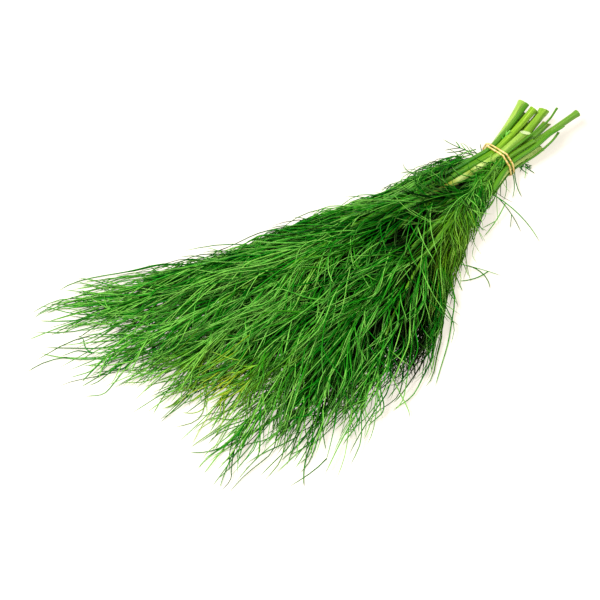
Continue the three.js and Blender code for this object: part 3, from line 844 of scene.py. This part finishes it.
# from and to where a stalk turns greener and a pale foot fades out; marks are stronger on the lamp-lit side
stalkFading = {"greening": (25, 80), "lateGreening": {"stem_11": (55, 85)}, "paleness": (50, 120),
               "greenSides": 0.07, "marksToLitSide": 0.25}
cornerShare = math.cos(math.pi / 8)  # the frame's stalks have eight corners


# A ribbed stalk along a line from its cut foot, with a hollow cut face and a pointed far end.
def stalkPiece(name, nodeName, line, radius, tone, seed, sides=stalkShape["sides"], flatness=1.0):
    rng, shape = np.random.default_rng(seed), stalkShape
    slant, longer, fuller = stemEnds.get(name, otherEnds)
    lineRun = runAlong(line)
    length = lineRun[-1]
    spaced = np.linspace(shape["evenFrom"], length, int(length / shape["spacing"]))
    run = np.concatenate([shape["cutRings"], spaced])
    rings, share = len(run), run / length
    middle = smoothCurve(line, share)
    size = np.interp(share, lineRun / length, radius) * fuller
    size = size * (1 + shape["flare"] * np.exp(-run / shape["flareRun"]))
    size = size * (1 + shape["swell"] * np.sin(share * shape["swells"] + rng.uniform(0, 6)))
    tangent = unit(np.gradient(middle, axis=0))
    across = unit(np.cross(tangent, [0, 0, 1.0]))
    out = np.cross(across, tangent)
    angle = ringAngles(sides)
    ribs = max(5, sides // 3)
    ribbing = 1 + shape["ribDepth"] * np.cos(ribs * angle + rng.uniform(0, 6))
    ribbing = ribbing + rng.normal(0, shape["ribUneven"], sides)
    shell = (middle[:, None] + size[:, None, None] * ribbing[None, :, None]
             * (np.cos(angle)[None, :, None] * across[:, None]
                + flatness * np.sin(angle)[None, :, None] * out[:, None]))
    # the knife went through at a slant, and a little to one side
    back = slant * np.sin(angle) + rng.uniform(*shape["sideSlant"]) * np.cos(angle)
    back = size[0] * back - longer
    shell[1:] += np.maximum(back[None] + shape["ringGap"] - run[1:, None], 0)[:, :, None] * tangent[0]
    shell[0] += back[:, None] * tangent[0]
    into = tangent[0] * shape["hollow"] * size[0]
    heart = shell[0].mean(0)
    face = [heart + (shell[0] - heart) * wide + into * deep for wide, deep in shape["cutFace"]]
    vertices = np.concatenate([shell.reshape(-1, 3), shell[0], *face, [heart + into],
                               [middle[-1] + tangent[-1] * size[-1]]])
    k = np.arange(sides)
    m = (k + 1) % sides
    n = np.arange(rings - 1)[:, None] * sides
    faces = [facesOf(n + k, n + m + sides, n + m), facesOf(n + k, n + k + sides, n + m + sides)]
    for level in range(len(face)):
        first = (rings + level) * sides
        faces += [facesOf(first + k, first + m, first + sides + m),
                  facesOf(first + k, first + sides + m, first + sides + k)]
    last, inner, centre = ((rings + level) * sides for level in (-1, len(face), len(face) + 1))
    faces += [facesOf(inner + k, inner + m, centre), facesOf(last + k, centre + 1, last + m)]

    around = np.concatenate([np.tile(angle, rings + 1 + len(face)), [0, 0]])
    distance = np.concatenate([np.repeat(run, sides), np.zeros((1 + len(face)) * sides + 1), [length]])
    cut = np.concatenate([np.zeros(rings * sides), np.repeat(shape["pith"], sides), [1, 0]])
    fading, (footGreen, footPale, topGreen) = stalkFading, tone
    greening = smoothStep(*fading["lateGreening"].get(name, fading["greening"]), distance)
    green = footGreen + (topGreen - footGreen) * greening + fading["greenSides"] * np.cos(2 * around + 1)
    seat = rng.uniform(0, 50)
    pale = footPale * (1 - smoothStep(*fading["paleness"], distance))
    dry = np.zeros(len(distance))
    # Marks are strongest on the upper left side, which faces the key lamp; on the pale marks this makes a
    # painted highlight.
    uneven = 1 + fading["marksToLitSide"] * (np.cos(around - 1) - 1)
    for kind, at, wide, much in stemMarks.get(name, ()):
        mark = much * np.exp(-((distance - at) / wide) ** 2) * uneven
        pale, dry = (pale + mark, dry) if kind == "paleAndHighlight" else (pale, dry + mark)
    return makePiece(name, nodeName, stalkMaterial, vertices, np.concatenate(faces),
                     {"ribX": np.cos(around) + seat, "ribY": np.sin(around),
                      "along": distance / stalkLook["stripeLength"], "green": np.clip(green, 0, 1),
                      "pale": np.clip(pale, 0, 1), "dry": np.clip(dry, 0, 1), "cut": cut})


for number, sprig in enumerate(sprigs, 1):
    triangles += stalkPiece(f"stem_{number:02d}", f"stalk_{number:02d}", sprig["stalk"],
                            sprig["thick"] / cornerShare, stalkTones[number - 1], 7000 + number)

# The thin leaf stalks, with the width along the foot. The second one is a flat blade.
leafStalks = {
    1: {"flatness": 1.0, "width": 1.1, "foot": [(0, 1.0)]},
    2: {"flatness": 0.45, "width": 1.7, "foot": [(0, 0.2), (2, 0.45), (9, 1.0)]},
    3: {"flatness": 1.0, "width": 1.1, "foot": [(0, 1.0)]},
}
leafStalkSides, leafStalkTone = 12, (0.75, 0.0, 0.8)
for number, blade in leafStalks.items():
    middles, low, high = outlinesOf(f"petiole_{number}")
    narrowing = np.interp(middles[0, 0] - middles[:, 0], *zip(*blade["foot"]))
    radius = (high[:, 2] - low[:, 2]) / 2 * blade["width"] * narrowing
    triangles += stalkPiece(f"leaf_stalk_{number}", f"petiole_{number}", middles, radius,
                            leafStalkTone, 7100 + number, leafStalkSides, blade["flatness"])
print("stalks:", triangles, "triangles so far")

# A doubled loop with a rounded square section.
bandShape = {
    "radius": 0.62, "fullness": 0.92, "corners": 3,  # 2 would make the section round
    "gap": 0.2, "spread": 1.35, "skew": 0.45, "smoothing": 6, "aboveTable": 0.05, "steps": 420, "sides": 12,
    "lift": 1.55, "liftPower": 7, "crossing": 0.1,  # where one turn rises over the other
}


def bandPiece():
    shape = bandShape
    stems = [(sprig["stalk"], sprig["thick"]) for sprig in sprigs]
    for number in leafStalks:
        middles, low, high = outlinesOf(f"petiole_{number}")
        stems.append((middles, np.full(len(middles), (high[0, 2] - low[0, 2]) / 2)))
    atTie = []  # each stem's place and half thickness under the band
    for line, thick in stems:
        y, z, half = (np.interp(tieX, line[::-1, 0], part[::-1]) for part in (line[:, 1], line[:, 2], thick))
        atTie.append([y - tieY, z, half])
    atTie = np.array(atTie)

    # how far the stems reach from the middle of the tie in a direction
    def reachOf(angle):
        return (atTie[:, :1] * np.cos(angle) + atTie[:, 1:2] * np.sin(angle) + atTie[:, 2:]).max(0)

    steps, sides, small = shape["steps"], shape["sides"], 1e-3
    angle = ringAngles(steps, 2)
    turn = (angle - shape["crossing"]) / 2
    over = shape["lift"] * np.maximum(0, np.cos(turn)) ** shape["liftPower"]
    reach = reachOf(angle) + shape["radius"] + shape["gap"] + over
    slope = (reachOf(angle + small) - reachOf(angle - small)) / (2 * small)
    path = np.stack([tieX + (shape["spread"] + shape["skew"] * np.sin(angle)) * np.sin(turn),
                     tieY + reach * np.cos(angle) - slope * np.sin(angle),
                     reach * np.sin(angle) + slope * np.cos(angle)], 1)
    for _ in range(shape["smoothing"]):
        path = (np.roll(path, 1, 0) + 2 * path + np.roll(path, -1, 0)) / 4
    path[:, 2] = np.maximum(path[:, 2], shape["radius"] + shape["aboveTable"])
    tangent = unit(np.roll(path, -1, 0) - np.roll(path, 1, 0))
    side = unit(np.array([1.0, 0, 0]) - tangent * tangent[:, :1])
    out = np.cross(tangent, side)
    along, up = np.cos(ringAngles(sides)), np.sin(ringAngles(sides))
    power = shape["corners"]
    square = shape["radius"] / (np.abs(along) ** power + np.abs(up) ** power) ** (1 / power)
    ring = (square * along)[None, :, None] * side[:, None] + (square * up)[None, :, None] * out[:, None]
    vertices = (path[:, None] + ring * shape["fullness"]).reshape(-1, 3)
    k, n = np.arange(sides), np.arange(steps)[:, None]
    a, b = n * sides + k, n * sides + (k + 1) % sides
    c, d = ((n + 1) % steps) * sides + k, ((n + 1) % steps) * sides + (k + 1) % sides
    faces = np.concatenate([facesOf(a, b, d), facesOf(a, d, c)])
    return makePiece("elastic_band", "rubber_band", rubberMaterial, vertices, faces, {})


triangles += bandPiece()
print("band:", triangles, "triangles so far")

view = {"azimuth": -45, "elevation": 54, "distance": 950, "lens": 95, "aim": (-48.8, -8.0, 9.0),
        "sensor": 36, "sees": 20}
azimuth, elevation = math.radians(view["azimuth"]), math.radians(view["elevation"])
back = np.array([math.sin(azimuth) * math.cos(elevation), -math.cos(azimuth) * math.cos(elevation),
                 math.sin(elevation)])
camera = addObject("camera", bpy.data.cameras.new("camera"))
camera.data.lens = view["lens"]
camera.data.sensor_width = view["sensor"]
camera.data.clip_end = view["sees"]  # metres
camera.location = ((np.array(view["aim"]) + back * view["distance"]) * mm).tolist()
camera.rotation_euler = (math.radians(90 - view["elevation"]), 0, azimuth)
bpy.context.scene.camera = camera

# White card, matt. It glows a little, so that it stays pale under soft shadows.
cardLook = {"half": 3, "colour": "aaa69e", "roughness": 0.9, "glow": "fff6ea", "glowStrength": 0.66}
half = cardLook["half"]
tableMesh = bpy.data.meshes.new("table")
tableMesh.from_pydata([(-half, -half, 0), (half, -half, 0), (half, half, 0), (-half, half, 0)], [],
                      [(0, 1, 2, 3)])
table = addObject("table", tableMesh)
tableMaterial, tree = newMaterial("white_card")
surface = addNode(tree, "BsdfPrincipled", {
    "Base Color": toLinear(cardLook["colour"]), "Roughness": cardLook["roughness"],
    "Specular IOR Level": 0.0, "Emission Color": toLinear(cardLook["glow"]),
    "Emission Strength": cardLook["glowStrength"]})
addNode(tree, "OutputMaterial", {"Surface": surface[0]})
tableMesh.materials.append(tableMaterial)

# Soft studio light: a pale surround and two square lamps, in metres and watts.
surround = {"colour": (1, 0.97, 0.93, 1), "strength": 0.58}
lamps = {
    "key": {"place": (-0.6, 0.5, 1.3), "size": 0.8, "power": 57},
    "fill": {"place": (0.6, -0.9, 1.4), "size": 1.2, "power": 24},
}
world = bpy.data.worlds.new("studio")
world.use_nodes = True
background = world.node_tree.nodes["Background"]
background.inputs["Color"].default_value = surround["colour"]
background.inputs["Strength"].default_value = surround["strength"]
bpy.context.scene.world = world
for name, lamp in lamps.items():
    light = addObject(name, bpy.data.lights.new(name, "AREA"))
    light.data.size = lamp["size"]
    light.data.energy = lamp["power"]
    light.location = lamp["place"]
    towards = -np.array(lamp["place"])
    light.rotation_euler = (math.atan2(math.hypot(*towards[:2]), -towards[2]), 0,
                            math.atan2(towards[0], -towards[1]))

bpy.context.scene.view_settings.view_transform = "Standard"
print("table, light and camera ready")
